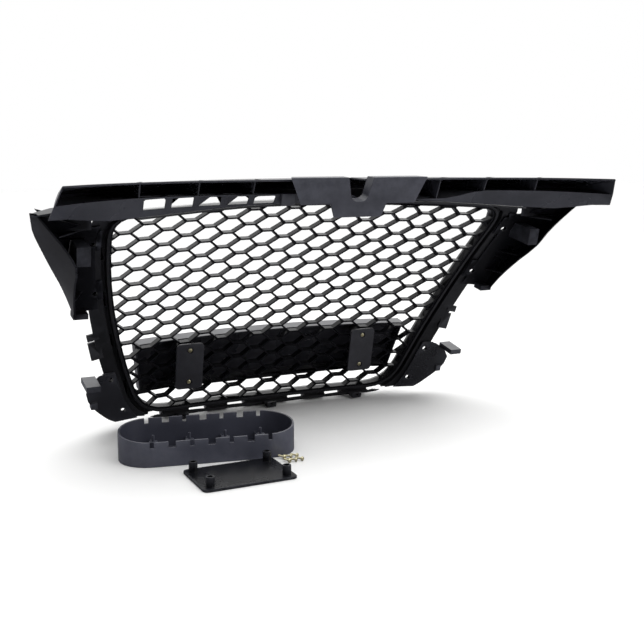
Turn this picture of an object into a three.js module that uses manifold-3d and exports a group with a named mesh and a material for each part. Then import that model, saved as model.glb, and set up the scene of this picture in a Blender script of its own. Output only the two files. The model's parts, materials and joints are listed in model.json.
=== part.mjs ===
// A honeycomb front grille for a car, seen with its loose fitting kit.
// Millimetres, +Z up, the grille's face looks along -Y and its rear along +Y, +X is the car's left.
// The grille is drawn upright as it sits on the car, in its own group, which then leans back.
import * as THREE from 'three';
import { mergeVertices } from 'three/addons/utils/BufferGeometryUtils.js';
import Module from 'manifold-3d';

const wasm = await Module();
wasm.setup();

// ---- driving dimensions ----
const clearance = 0.4; // between pieces that touch
const lapClearance = 1.4; // between curved sheets that lie on each other
const standLean = 12; // degrees that the grille leans back of its place on the car

// the curved sheet that the honeycomb follows: rearward distance over x and z
const sheetBow = 3.25e-4; // per mm, across
const sheetRake = 0.388; // rise to run at mid height
const sheetCrown = 8.7e-4; // per mm, up and down

// opening in the surround
const openTopHalf = 342;
const openBottomHalf = 246;
const openTop = 163;
const openBottom = -226;
const topArch = 6;
const bottomArch = 6;
const sideBulge = 15;
const topCornerRun = 40;
const bottomCornerRun = 46;

// honeycomb
const cellPitchX = 35;
const cellPitchZ = 29.13;
const cellEdge = 17.5; // length of a level edge
const rearWall = 3.2;
const frontWall = 3.8;
const meshDepth = 12;
const rimWidth = 3;

// surround
const rimBand = 4.5; // inner rim seen from the rear
const rimProud = 2.5;
const grooveDepth = 8;
const grooveEnd = 13;
const surroundDepth = meshDepth + 2;
const flangeWidth = 17; // opening to outer edge, top and bottom
const sideFlange = 21; // added at the sides
const sheetWall = 3;
const bottomSlots = [66, 142, 229]; // places of the slots along the lower edge
const slotHalf = 12; // half width
const slotFlare = 23; // how far they reach inward at the front
const earHole = 4.2; // radius
const earWidth = 24;
const earHeight = 36;
const earProud = 4.2;

// long top panel
const panelHalf = 441;
const panelAbove = 73; // its top edge over the opening
const panelBehind = 118.6; // its rear edge behind the sheet
const panelTop = openTop + panelAbove;
const panelRear = sheetRake * openTop + sheetCrown * openTop ** 2 + panelBehind;
const panelSweep = 68; // how far the ends sweep back
const panelCrown = 6; // rise of the top just forward of the rear edge
const panelEndRise = 11;
const panelDepth = 108;
const panelFall = 35; // drop from the rear edge to the front edge
const lipDrop = 25; // lip under the top edge, at the middle
const lipRise = 8;
const lipDip = 12; // how much lower the lip runs beside the block, on the side with no windows
const dipFrom = 165;
const dipTo = 242;
const apronDrop = 41; // lower edge of the apron under the top edge
const panelEndSlant = 0.4; // outward as it goes down
const panelEndCut = 0.28; // inward as it goes forward
const apronHalf = openTopHalf - 12; // the windows lie inside this
const windowDrop = 39.5; // lower edge of the windows under the top edge

// centre latch block
const blockHalfTop = 113.5;
const blockHalfBottom = 95;
const blockTop = panelTop + 7;
const blockBottom = panelTop - 33;
const blockRear = panelRear + 21;
const blockTaper = 9; // how much narrower its front is
const windowCount = 5; // on the left only, in a row from the block to the apron's end
const windowFirst = blockHalfBottom + 41;
const windowPitch = (apronHalf - 25 - windowFirst) / (windowCount - 1);
const apronWindow = windowPitch * 0.757;
const windowCentres = Array.from({ length: windowCount }, (_, i) => windowFirst + i * windowPitch);
const panelWebs = [windowFirst + windowPitch / 2, windowFirst + windowPitch * 2.5, apronHalf];
const notchTop = 46; // width
const notchBottom = 30;
const notchFloor = panelTop - 29;
const tabHalfTop = 47;
const tabHalfBottom = 39.5;
const tabBottom = panelTop - 53;

// number plate bracket and its clamps
const plateGapTop = 29; // its ends inside the opening
const plateGapBottom = 10;
const plateBottom = openBottom + 31;
const plateTop = plateBottom + 96;
const plateDepth = 24;
const clampX = 168;
const clampScrewTop = plateTop - 14;
const clampScrewBottom = plateBottom + 23;
const clampWide = 49;
const clampTall = 84;
const clampWall = 4.5;
const clampCorner = 7;
const clampLift = 19.4; // clamp's rear face behind the sheet
const recessRadius = 5.2; // round the screw heads
const recessDepth = 3.2;
const postRadius = 5.5;
const screwRadius = 2;
const screwHead = 3.9;
const screwHeadHeight = 2.4;
const screwLength = 18;

// loose kit
const carrierLength = 275;
const carrierWidth = 98;
const carrierNear = 38; // height of its rearward side
const carrierFar = 51; // height of its forward side
const carrierWall = 3;
const carrierX = 200;
const carrierY = 140;
const carrierTurn = -11; // degrees
const kitPlateLength = 143;
const kitPlateWidth = 100;
const kitPlateWall = 4;
const kitPlateCorner = 8;
const kitPlateX = 193.5;
const kitPlateY = 261;
const kitPostRadius = 6.5;
const kitPostHeight = 15;
const kitPostInset = 13;
const looseScrewCount = 6;
const looseScrewLength = 14;
const looseShank = 1.7; // radius
const looseHead = 3.6; // radius
const looseHeadHeight = 2.4;
const looseSpread = 10.5;
const looseX = kitPlateX - kitPlateLength / 2 - 28;
const looseY = 229;

// ---- solids ----

function closedGeometry(positions, triangles) {
  let volume = 0;
  const a = new THREE.Vector3();
  const b = new THREE.Vector3();
  const c = new THREE.Vector3();
  for (const [i, j, k] of triangles) {
    a.fromArray(positions[i]);
    b.fromArray(positions[j]);
    c.fromArray(positions[k]);
    volume += a.dot(b.cross(c));
  }
  const order = volume < 0 ? triangles.map(([i, j, k]) => [i, k, j]) : triangles;
  const geometry = new THREE.BufferGeometry();
  geometry.setAttribute('position', new THREE.Float32BufferAttribute(positions.flat(), 3));
  geometry.setIndex(order.flat());
  return geometry;
}

function toSolid(source) {
  let geometry = source.clone();
  geometry.deleteAttribute('normal');
  geometry.deleteAttribute('uv');
  geometry = mergeVertices(geometry, 1e-4);
  const vertProperties = new Float32Array(geometry.attributes.position.array);
  const triVerts = new Uint32Array(geometry.index.array);
  return new wasm.Manifold(new wasm.Mesh({ numProp: 3, vertProperties, triVerts }));
}

function toGeometry(solid) {
  const mesh = solid.getMesh();
  const geometry = new THREE.BufferGeometry();
  geometry.setAttribute('position', new THREE.BufferAttribute(new Float32Array(mesh.vertProperties), 3));
  geometry.setIndex(new THREE.BufferAttribute(new Uint32Array(mesh.triVerts), 1));
  geometry.computeVertexNormals();
  return geometry;
}

const join = (first, ...others) => others.reduce((sum, next) => sum.add(next), first);
const cut = (first, ...others) => others.reduce((rest, next) => rest.subtract(next), first);

function box([x0, x1], [y0, y1], [z0, z1]) {
  const geometry = new THREE.BoxGeometry(Math.abs(x1 - x0), Math.abs(y1 - y0), Math.abs(z1 - z0));
  geometry.translate((x0 + x1) / 2, (y0 + y1) / 2, (z0 + z1) / 2);
  return toSolid(geometry);
}

// a round bar along Y, from y0 to y1
function barY(radius, x, [y0, y1], z, sides = 20) {
  const geometry = new THREE.CylinderGeometry(radius, radius, y1 - y0, sides);
  geometry.translate(x, (y0 + y1) / 2, z);
  return toSolid(geometry);
}

function barZ(radius, x, y, [z0, z1], sides = 20) {
  const geometry = new THREE.CylinderGeometry(radius, radius, z1 - z0, sides);
  geometry.rotateX(Math.PI / 2);
  geometry.translate(x, y, (z0 + z1) / 2);
  return toSolid(geometry);
}

// rings of points, each joined to the next; a loop closes on itself, any other row gets end caps
function loft(rings, loop = false) {
  const count = rings[0].length;
  const triangles = [];
  const steps = loop ? rings.length : rings.length - 1;
  for (let i = 0; i < steps; i += 1) {
    const here = i * count;
    const there = ((i + 1) % rings.length) * count;
    for (let j = 0; j < count; j += 1) {
      const k = (j + 1) % count;
      triangles.push([here + j, there + j, there + k], [here + j, there + k, here + k]);
    }
  }
  if (!loop) {
    const last = (rings.length - 1) * count;
    const flat = (ring) => {
      const spread = [0, 1, 2].map((axis) => {
        const values = ring.map((point) => point[axis]);
        return Math.max(...values) - Math.min(...values);
      });
      const drop = spread.indexOf(Math.min(...spread));
      const [u, v] = [0, 1, 2].filter((axis) => axis !== drop);
      return ring.map((point) => new THREE.Vector2(point[u], point[v]));
    };
    const shape = flat(rings[0]);
    const turned = THREE.ShapeUtils.isClockWise(shape);
    const capOrder = turned ? shape.slice().reverse() : shape;
    const caps = THREE.ShapeUtils.triangulateShape(capOrder, []);
    const index = (i) => (turned ? count - 1 - i : i);
    const first = triangles[0];
    const sideUp = [first[0], first[2]];
    const wound = caps.some(([i, j, k]) => {
      const ids = [index(i), index(j), index(k)];
      return ids.some((id, n) => id === sideUp[0] % count && ids[(n + 1) % 3] === (id + 1) % count);
    });
    for (const [i, j, k] of caps) {
      const tri = [index(i), index(j), index(k)];
      const start = wound ? tri : [tri[0], tri[2], tri[1]];
      triangles.push(start, [start[0] + last, start[2] + last, start[1] + last]);
    }
  }
  return toSolid(closedGeometry(rings.flat(), triangles));
}

// an outline in x and z, pushed along Y
function slabY(outline, [y0, y1]) {
  return loft([outline.map(([x, z]) => [x, y0, z]), outline.map(([x, z]) => [x, y1, z])]);
}

// an outline in x and y, pushed along Z
function slabZ(outline, [z0, z1]) {
  return loft([outline.map(([x, y]) => [x, y, z0]), outline.map(([x, y]) => [x, y, z1])]);
}

const sheetY = (x, z) => sheetBow * x * x + sheetRake * z + sheetCrown * z * z;
const smooth = (low, high, value) => THREE.MathUtils.smoothstep(value, low, high);

// ---- the opening's outline: points with outward normals ----
function openingEdges() {
  const top = new THREE.Vector2(openTopHalf, openTop);
  const bottom = new THREE.Vector2(openBottomHalf, openBottom);
  const flip = (point) => new THREE.Vector2(-point.x, point.y);
  const along = bottom.clone().sub(top).normalize();
  const out = new THREE.Vector2(-along.y, along.x);
  const sideControl = top.clone().add(bottom).multiplyScalar(0.5).addScaledVector(out, 2 * sideBulge);
  return [
    new THREE.QuadraticBezierCurve(flip(top), new THREE.Vector2(0, openTop + 2 * topArch), top),
    new THREE.QuadraticBezierCurve(top, sideControl, bottom),
    new THREE.QuadraticBezierCurve(bottom, new THREE.Vector2(0, openBottom - 2 * bottomArch), flip(bottom)),
    new THREE.QuadraticBezierCurve(flip(bottom), flip(sideControl), flip(top)),
  ];
}

function cornerCurve(before, after, run) {
  const t1 = 1 - run / before.getLength();
  const t2 = run / after.getLength();
  const p1 = before.getPoint(t1);
  const p2 = after.getPoint(t2);
  const d1 = before.getTangent(t1);
  const d2 = after.getTangent(t2);
  const reach = (p2.clone().sub(p1).cross(d2)) / d1.cross(d2);
  return new THREE.QuadraticBezierCurve(p1, p1.clone().addScaledVector(d1, reach), p2);
}

function openingLoop() {
  const edges = openingEdges();
  const runs = [topCornerRun, bottomCornerRun, bottomCornerRun, topCornerRun];
  const edgeSteps = [14, 11, 12, 11];
  const cornerSteps = 5;
  const loop = [];
  edges.forEach((edge, i) => {
    const length = edge.getLength();
    const startRun = runs[(i + 3) % 4] / length;
    const endRun = runs[i] / length;
    for (let step = 0; step < edgeSteps[i]; step += 1) {
      const t = startRun + (1 - startRun - endRun) * (step / edgeSteps[i]);
      loop.push({ point: edge.getPoint(t), tangent: edge.getTangent(t) });
    }
    const corner = cornerCurve(edge, edges[(i + 1) % 4], runs[i]);
    for (let step = 0; step < cornerSteps; step += 1) {
      const t = step / cornerSteps;
      loop.push({ point: corner.getPoint(t), tangent: corner.getTangent(t) });
    }
  });
  return loop.map(({ point, tangent }) => ({
    x: point.x,
    z: point.y,
    nx: -tangent.y,
    nz: tangent.x,
    side: smooth(0.45, 0.9, Math.abs(tangent.y)),
    top: smooth(0.5, 0.9, tangent.x),
  }));
}

const opening = openingLoop();

// a ring round the opening; section corners are outward growth, growth added at the sides, rearward offset
// and growth taken off along the top
function ring(section) {
  return loft(opening.map((spot) => section.map(([grow, growSide, rearward, lessTop = 0]) => {
    const out = grow + growSide * spot.side - lessTop * spot.top;
    const x = spot.x + spot.nx * out;
    const z = spot.z + spot.nz * out;
    return [x, sheetY(x, z) + rearward, z];
  })), true);
}

function loopOutline(grow) {
  return opening.map((spot) => [spot.x + spot.nx * grow, spot.z + spot.nz * grow]);
}

// half width of the outline at a height, grown by some distance
function halfWidthAt(z, grow = 0) {
  const right = opening.filter((spot) => spot.x > 0 && spot.nx > 0.2);
  for (let i = 0; i + 1 < right.length; i += 1) {
    const a = right[i];
    const b = right[i + 1];
    const za = a.z + a.nz * grow;
    const zb = b.z + b.nz * grow;
    if ((za - z) * (zb - z) <= 0 && za !== zb) {
      const t = (z - za) / (zb - za);
      return (a.x + a.nx * grow) * (1 - t) + (b.x + b.nx * grow) * t;
    }
  }
  return z > 0 ? openTopHalf : openBottomHalf;
}

// ---- honeycomb ----
function hexagon(wall) {
  const half = cellEdge / 2;
  const tall = cellPitchZ / 2;
  const wide = cellPitchX - half;
  const slant = Math.hypot(tall, wide - half);
  const nx = tall / slant;
  const nz = (wide - half) / slant;
  const tip = wide - wall / 2 / nx;
  const flat = half - (wall / 2) * ((1 - nz) / nx);
  const top = tall - wall / 2;
  return [[flat, top], [tip, 0], [flat, -top], [-flat, -top], [-tip, 0], [-flat, top]];
}

function honeycombSheet() {
  const columns = Math.ceil((openTopHalf + sideBulge) / cellPitchX);
  const rows = Math.ceil((Math.max(openTop, -openBottom) + topArch + bottomArch) / cellPitchZ) + 1;
  const centre = (column, row) => {
    const even = column % 2 === 0;
    return [column * cellPitchX, (row + (even ? 0.5 : 0)) * cellPitchZ];
  };
  const inside = (column, row) => {
    const z = centre(column, row)[1];
    const low = openBottom - bottomArch - cellPitchZ;
    const high = openTop + topArch + cellPitchZ;
    return Math.abs(column) <= columns && z > low && z < high && Math.abs(row) <= rows;
  };
  const near = (column, row, way) => {
    const even = column % 2 === 0;
    const up = even ? row + 1 : row;
    const down = even ? row : row - 1;
    return [[column, row + 1], [column + 1, up], [column + 1, down],
      [column, row - 1], [column - 1, down], [column - 1, up]][way];
  };
  const positions = [];
  const seen = new Map();
  const faces = [[rearWall, 0], [frontWall, -meshDepth]];
  const vertex = (cell, corner, face) => {
    const key = `${cell[0]},${cell[1]},${corner},${face}`;
    if (!seen.has(key)) {
      const [cx, cz] = centre(...cell);
      const [wall, rearward] = faces[face];
      const [dx, dz] = hexagon(wall)[corner];
      seen.set(key, positions.length);
      positions.push([cx + dx, sheetY(cx + dx, cz + dz) + rearward, cz + dz]);
    }
    return seen.get(key);
  };
  const triangles = [];
  const quad = (a, b, c, d) => triangles.push([a, b, c], [a, c, d]);
  const done = new Set();
  const walls = (cell, way) => {
    // the wall between a cell and its neighbour across way, with both of its faces
    const other = near(...cell, way);
    const name = [cell.join(), other.join()].sort().join(';');
    if (done.has(name)) return;
    done.add(name);
    const [a, b] = [(way + 5) % 6, way];
    const [c, d] = [(way + 2) % 6, (way + 3) % 6];
    const [ra, rb, rc, rd] = [[cell, a], [cell, b], [other, c], [other, d]].map(([s, k]) => vertex(s, k, 0));
    const [fa, fb, fc, fd] = [[cell, a], [cell, b], [other, c], [other, d]].map(([s, k]) => vertex(s, k, 1));
    quad(ra, rb, rc, rd);
    quad(fd, fc, fb, fa);
    quad(rb, ra, fa, fb);
    quad(rd, rc, fc, fd);
  };
  const knots = (cell, corner) => {
    // the three-cornered knot at a cell's corner, closed where no wall leaves it
    const ways = [corner, (corner + 1) % 6];
    const spots = [[cell, corner], [near(...cell, ways[0]), (corner + 2) % 6],
      [near(...cell, ways[1]), (corner + 4) % 6]];
    const name = spots.map(([s]) => s.join()).sort().join(';');
    if (done.has(name)) return;
    done.add(name);
    const rear = spots.map(([s, k]) => vertex(s, k, 0));
    const front = spots.map(([s, k]) => vertex(s, k, 1));
    triangles.push([rear[0], rear[2], rear[1]], [front[0], front[1], front[2]]);
    for (let i = 0; i < 3; i += 1) {
      const j = (i + 1) % 3;
      if (!inside(...spots[i][0]) && !inside(...spots[j][0])) quad(rear[i], rear[j], front[j], front[i]);
    }
  };
  for (let column = -columns; column <= columns; column += 1) {
    for (let row = -rows; row <= rows; row += 1) {
      if (inside(column, row)) {
        for (let way = 0; way < 6; way += 1) {
          walls([column, row], way);
          knots([column, row], way);
        }
      }
    }
  }
  // the walls are cut round the posts that hold the plate bracket
  const postSpaces = [-1, 1].flatMap((side) => [clampScrewTop, clampScrewBottom].map((z) => {
    const rear = sheetY(clampX, z);
    return barY(postRadius + clearance, side * clampX, [rear - meshDepth - 10, rear + 10], z);
  }));
  return cut(toSolid(closedGeometry(positions, triangles)), ...postSpaces);
}

function honeycomb() {
  const trimmer = slabY(loopOutline(-clearance - rimWidth / 2), [-400, 400]);
  const rim = ring([[-clearance, 0, 0], [-clearance, 0, -meshDepth],
    [-rimWidth - clearance, 0, -meshDepth], [-rimWidth - clearance, 0, 0]]);
  return honeycombSheet().intersect(trimmer).add(rim);
}

// ---- surround ----
// each ear: how far out from the opening's edge, and its height
const earSpots = [[26.5, openTop - 44], [26.3, openTop - 138.6], [31.8, openBottom + 75.7],
  [39.2, openBottom + 13.4]].map(([out, z]) => [halfWidthAt(z) + out, z]);
const earLean = [0.1, 0.2, 0.35, 0.7]; // how far each ear moves out as it rises
const clipLean = 0.22; // radians, the edge clips and side slots lean with the edge

function earHoles(side) {
  return earSpots.map(([x, z]) => barY(earHole, side * x, [sheetY(x, z) - 20, sheetY(x, z) + 20], z, 16));
}

function turnedBox(width, height, [y0, y1], x, z, angle) {
  const geometry = new THREE.BoxGeometry(width, y1 - y0, height);
  geometry.rotateY(angle);
  geometry.translate(x, (y0 + y1) / 2, z);
  return toSolid(geometry);
}

// a pad that follows the sheet, leaning with the edge it stands on
function sheetPad(side, x, z, width, height, [low, high], lean) {
  return loft([-1, -0.33, 0.33, 1].map((share) => {
    const down = (share * height) / 2;
    const middle = x + lean * down;
    const at = (offset, lift) => {
      const across = middle + offset;
      return [side * across, sheetY(across, z + down) + lift, z + down];
    };
    return [at(-width / 2, low), at(width / 2, low), at(width / 2, high), at(-width / 2, high)];
  }));
}

function surround() {
  const band = ring([
    [0, 0, rimProud], [rimBand, 0, rimProud, 1.5], [rimBand + 1, 0, -grooveDepth, 1.5],
    [grooveEnd - 1, 0, -grooveDepth, 7.5], [grooveEnd, 0, 0, 7.5], [flangeWidth, sideFlange, 0, 10.5],
    [flangeWidth, sideFlange, -sheetWall, 10.5], [grooveEnd + 1.5, 0, -sheetWall, 8.5],
    [grooveEnd, 0, -surroundDepth, 8.5], [0, 0, -surroundDepth],
  ]);
  const pieces = [];
  const holes = [];
  for (const side of [-1, 1]) {
    holes.push(...earHoles(side));
    // the edge clips, two catches with a gap between them
    for (const [rise, tall, reach] of [[163, 12, 11], [136, 32, 12]]) {
      const z = openBottom + rise;
      const edge = halfWidthAt(z, flangeWidth + sideFlange) - 4;
      const y = sheetY(edge, z);
      const middle = side * (edge + reach / 2);
      pieces.push(turnedBox(reach + 8, tall, [y - sheetWall, y + 1], middle, z, side * clipLean));
    }
    // slots through the groove floor
    for (const z of [openTop - 67, openTop - 157, openBottom + 148, openBottom + 50]) {
      const x = halfWidthAt(z, (rimBand + grooveEnd) / 2 + 1);
      const y = sheetY(x, z);
      holes.push(turnedBox(3.4, 26, [y - 30, y - 2], side * x, z, side * clipLean));
    }
    for (const x of bottomSlots) {
      const z = slotHeight(x);
      const y = sheetY(x, z);
      holes.push(box([side * (x - slotHalf), side * (x + slotHalf)], [y - 7, y + 12], [z - 3, z + 3]));
      holes.push(box([side * (x - slotFlare), side * (x + slotHalf)], [y - 30, y - 6], [z - 11, z + 3]));
    }
    // rearward tabs on the lower edge
    pieces.push(bottomTab(side * 173));
  }
  pieces.push(bottomTab(0));
  return cut(join(band, ...pieces), ...holes);
}

function slotHeight(x) {
  return openBottom - (rimBand + grooveEnd) / 2 - bottomArch * (1 - (x / openBottomHalf) ** 2) - 0.5;
}

function bottomTab(x) {
  const z = openBottom - flangeWidth - bottomArch * (1 - (x / openBottomHalf) ** 2) + 3;
  const y = sheetY(x, z);
  const plate = box([x - 9, x + 9], [y - 2, y + 20], [z - 1.5, z + 1.5]);
  const pad = box([x - 9, x + 9], [y + 17, y + 20], [z - 1.5, z + 9]);
  return cut(join(plate, pad), barY(2, x, [y + 10, y + 30], z + 5, 12));
}

function frontTrim() {
  const band = ring([
    [-2, 0, -surroundDepth - clearance], [22, 6, -surroundDepth - clearance, 19],
    [24, 8, -surroundDepth - 4, 20], [20, 6, -surroundDepth - 11, 17], [9, 2, -surroundDepth - 13, 7],
    [-1, 0, -surroundDepth - 8], [-2, 0, -surroundDepth - 5],
  ]);
  // notches in its lower edge that clear the slots of the surround
  const notches = [-1, 1].flatMap((side) => bottomSlots.map((x) => {
    const z = slotHeight(x);
    const y = sheetY(x, z);
    return box([side * (x - slotFlare), side * (x + slotHalf)], [y - 60, y - 10], [z - 30, z + 1]);
  }));
  return cut(band, ...notches);
}

// ---- long top panel ----
const rearEdge = (x) => panelRear + panelSweep * (Math.abs(x) / panelHalf) ** 4;
const topEdge = (x) => panelTop + panelEndRise * (Math.abs(x) / panelHalf) ** 4;
const lipZ = (x) => panelTop - lipDrop + lipRise * (x / panelHalf) ** 2
  - (x < 0 ? lipDip * (1 - smooth(dipFrom, dipTo, -x)) : 0);
const lipY = (x) => rearEdge(x) - 8 - 6 * (1 - Math.abs(x) / panelHalf);
const apronZ = (x) => panelTop - apronDrop - 9 * smooth(blockHalfBottom, 0.77 * panelHalf, Math.abs(x))
  + 13 * smooth(0.82 * panelHalf, panelHalf, Math.abs(x));
const apronY = (x) => lipY(x) - 8;

function panelSection(x) {
  const rear = rearEdge(x);
  const top = topEdge(x);
  const front = rear - panelDepth;
  const floorZ = top - panelFall - 7;
  const crown = panelCrown * (1 - (x / panelHalf) ** 2);
  return [
    [rear, top], [rear - 0.4 * panelDepth, top - 0.4 * panelFall + crown], [front, top - panelFall],
    [front + 6, floorZ - 1],
    [lipY(x) - sheetWall, Math.max(lipZ(x) - sheetWall, apronZ(x) + 1)], [apronY(x) - sheetWall, apronZ(x)],
    [apronY(x), apronZ(x)],
    [lipY(x), lipZ(x)], [front + 10, floorZ + 2.5], [front + 11, top - panelFall - 0.5],
    [rear - 0.4 * panelDepth, top - 0.4 * panelFall + crown - sheetWall], [rear, top - sheetWall],
  ];
}

function panelStations(from, to, steps) {
  return Array.from({ length: steps + 1 }, (_, i) => from + ((to - from) * i) / steps);
}

// a panel section set in space; towards the ends it slants outward as it goes down
function sectionRing(x, section) {
  const end = smooth(panelHalf - 90, panelHalf, Math.abs(x)) * Math.sign(x);
  const shift = (y, z) => panelEndSlant * (topEdge(x) - z) - panelEndCut * (rearEdge(x) - y);
  return section.map(([y, z]) => [x + end * shift(y, z), y, z]);
}

function panelWeb(x, inset) {
  const [rear, crown, front, floor, lipUnder, , , lip] = panelSection(x);
  const web = [[rear[0] - inset, rear[1] - 1], [crown[0], crown[1] - 1.5], [front[0] + 4, front[1] - 1.5],
    [floor[0] + 2, floor[1] + 1.5], [lipUnder[0] + 1, lipUnder[1] + 1.5], [lip[0] - inset / 3, lip[1] - 0.5]];
  const wall = sheetWall * 0.8 * (x < 0 ? 1 : -1);
  return loft([sectionRing(x, web), sectionRing(x + wall, web)]);
}

function notchOutline(grow, low, high) {
  const top = notchTop / 2 + grow;
  const bottom = notchBottom / 2 + grow;
  const round = bottom * 0.75;
  const floor = low - grow;
  const arc = [];
  for (let i = 0; i <= 6; i += 1) {
    const turn = (Math.PI / 2) * (i / 6);
    arc.push([bottom - round + round * Math.cos(turn), floor + round - round * Math.sin(turn)]);
  }
  const right = [[top, high], ...arc];
  return [...right, ...right.map(([x, z]) => [-x, z]).reverse()];
}

function topPanel() {
  const shell = loft(panelStations(-panelHalf, panelHalf, 36).map((x) => sectionRing(x, panelSection(x))));
  const webs = [];
  const holes = [slabY(notchOutline(0, notchFloor, topEdge(0) + 30), [panelRear - 45, panelRear + 30])];
  for (const side of [-1, 1]) {
    webs.push(panelWeb(side * panelHalf, 0));
    for (const x of panelWebs) webs.push(panelWeb(side * x, 7));
  }
  for (const x of windowCentres) {
    holes.push(box([x - apronWindow / 2, x + apronWindow / 2], [lipY(x) - 30, lipY(x) + 20],
      [panelTop - windowDrop, lipZ(x) - sheetWall]));
  }
  // the end of the windows' recess, beside the block
  const recessEnd = windowCentres[0] - apronWindow / 2 - 8;
  webs.push(slabY([[blockHalfBottom - 4, apronZ(recessEnd)], [recessEnd, apronZ(recessEnd)],
    [recessEnd, lipZ(recessEnd) + 1], [blockHalfBottom - 4, lipZ(recessEnd) + 1]],
  [lipY(recessEnd) - sheetWall, lipY(recessEnd) + 4]));
  return cut(join(shell, ...webs), ...holes);
}

function ductShelf() {
  const half = apronHalf - 6;
  return loft(panelStations(-half, half, 60).map((x) => {
    const rim = openTop + topArch * (1 - (x / openTopHalf) ** 2) + rimBand + 2;
    const front = sheetY(x, rim) + rimProud + 1;
    const rear = apronY(x);
    const high = apronZ(x) - clearance;
    return sectionRing(x, [[rear, high], [front, rim + sheetWall / 2], [front, rim - sheetWall / 2],
      [rear, high - sheetWall]]);
  }));
}

function latchBlock() {
  const outline = (inset) => [[blockHalfTop - inset, blockTop - inset],
    [blockHalfBottom - inset, blockBottom + inset], [inset - blockHalfBottom, blockBottom + inset],
    [inset - blockHalfTop, blockTop - inset]];
  const front = rearEdge(blockHalfTop) + clearance;
  const through = [front - 10, blockRear + 10];
  const notch = slabY(notchOutline(0, notchFloor, blockTop + 10), through);
  const notchWall = slabY(notchOutline(sheetWall, notchFloor - sheetWall, blockTop + 20), through);
  const pocket = cut(slabY(outline(sheetWall), [front - 5, blockRear - sheetWall]), notchWall);
  const tab = slabY([[-tabHalfTop, blockBottom + 1], [tabHalfTop, blockBottom + 1],
    [tabHalfBottom, tabBottom], [-tabHalfBottom, tabBottom]], [blockRear - sheetWall, blockRear]);
  const at = (y, taper) => outline(0).map(([x, z]) => {
    const lower = z > blockBottom ? taper / 3 : 0;
    return [x - Math.sign(x) * taper, y, z - lower];
  });
  return join(cut(loft([at(front, blockTaper), at(blockRear, 0)]), pocket, notch), tab);
}

// ---- side wings ----
// places beside the opening: out from its edge, rearward of the sheet, rise over its top
function besideTop([out, back, rise]) {
  const z = openTop + rise;
  const x = halfWidthAt(Math.min(z, openTop - 13)) + out;
  return [x, sheetY(x, z) + back, z];
}
const wingOuter = [[132, 4, 26], [122, -4, -11], [103, -4, -44], [90, -3, -81], [78, -3, -115],
  [70.5, 0, -145], [66.5, 7, -169]].map(besideTop);
const wingRear = [[127, 14, 27], [107, 27, 0], [78, 45, -33], [66, 58.5, -60], [66, 42, -105],
  [67, 30, -141], [68, 24.5, -169]].map(besideTop);
const wingSteps = 14;

function wingCurves(side) {
  const curve = (points) => new THREE.CatmullRomCurve3(points.map((point) => new THREE.Vector3(...point)));
  const spots = [];
  for (let i = 0; i <= wingSteps; i += 1) {
    const outer = curve(wingOuter).getPoint(i / wingSteps);
    const rear = curve(wingRear).getPoint(i / wingSteps);
    const z = Math.min(outer.z, openTop - 11);
    const inX = halfWidthAt(z, flangeWidth + 6);
    const inY = sheetY(inX, z) + lapClearance;
    spots.push({ inner: [side * inX, inY, z], outer: [side * outer.x, outer.y, outer.z],
      rear: [side * rear.x, Math.max(rear.y, outer.y + 4), rear.z] });
  }
  return spots;
}

function wing(side) {
  const wall = sheetWall;
  const body = loft(wingCurves(side).map(({ inner, outer, rear }) => {
    const lift = (point, dx, dy) => [point[0] - side * dx, point[1] + dy, point[2]];
    const bend = [side * halfWidthAt(inner[2], flangeWidth + sideFlange + 3), 0, inner[2]];
    bend[1] = sheetY(bend[0], bend[2]) + lapClearance;
    return [inner, bend, outer, rear, lift(rear, wall, 0), lift(outer, wall, wall), lift(bend, 0, wall),
      lift(inner, 0, wall)];
  }));
  const pads = [0, 1].map((i) => {
    const [x, z] = earSpots[i];
    return sheetPad(side, x, z + 6, earWidth, earHeight, [lapClearance + 0.5, earProud], earLean[i]);
  });
  const [hookX, hookY, hookZ] = wingRear.at(-1);
  const hook = box([side * (hookX - 22), side * (hookX + 1)], [hookY - 22, hookY], [hookZ - 4, hookZ + 5]);
  const ribs = [[-15, 88], [-93, 68], [-133, 63]].map(([rise, out]) => {
    const z = openTop + rise;
    const inX = halfWidthAt(z, flangeWidth + sideFlange + 8);
    const reach = halfWidthAt(z) + out;
    const y = sheetY(inX, z) + 2;
    return slabZ([[side * inX, y], [side * reach, y], [side * reach, y + 34]], [z - 1.2, z + 1.2]);
  });
  const [tipX, tipY, tipZ] = wingOuter[0];
  const ledge = slabZ([[0, -1], [-3, 11], [-42, -8], [-56, -36], [-31, -28]]
    .map(([dx, dy]) => [side * (tipX + dx - 1), tipY + dy]), [tipZ - 4, tipZ - 1.5]);
  const shield = slabY([[-92, -39], [-40, -39], [-14, -6], [-40, -14], [-92, -14]]
    .map(([dx, dz]) => [side * (tipX + dx), tipZ + dz]), [tipY - 45, tipY - 42.5]);
  const whole = join(body, ...pads, hook, ledge, shield, ...ribs);
  return cut(whole, ...earHoles(side), wingBoxSpace(side));
}

const boxAt = besideTop([52, 0, -45]);
const boxX = [boxAt[0] - 10, boxAt[0] + 10];
const boxY = [boxAt[1] - 3, boxAt[1] + 52.5];
const boxZ = [boxAt[2] - 14, boxAt[2] + 14.5];

function wingBoxSpace(side) {
  const grow = clearance;
  return box([side * (boxX[0] - grow), side * (boxX[1] + grow)], [boxY[0] - grow, boxY[1] + 12],
    [boxZ[0] - grow, boxZ[1] + grow]);
}

function wingBox(side) {
  const wall = 2.5;
  const outer = box([side * boxX[0], side * boxX[1]], boxY, boxZ);
  const inner = box([side * (boxX[0] + wall), side * (boxX[1] - wall)], [boxY[0] + wall, boxY[1] - wall],
    [boxZ[0] - 5, boxZ[1] - wall]);
  return cut(outer, inner);
}

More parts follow.
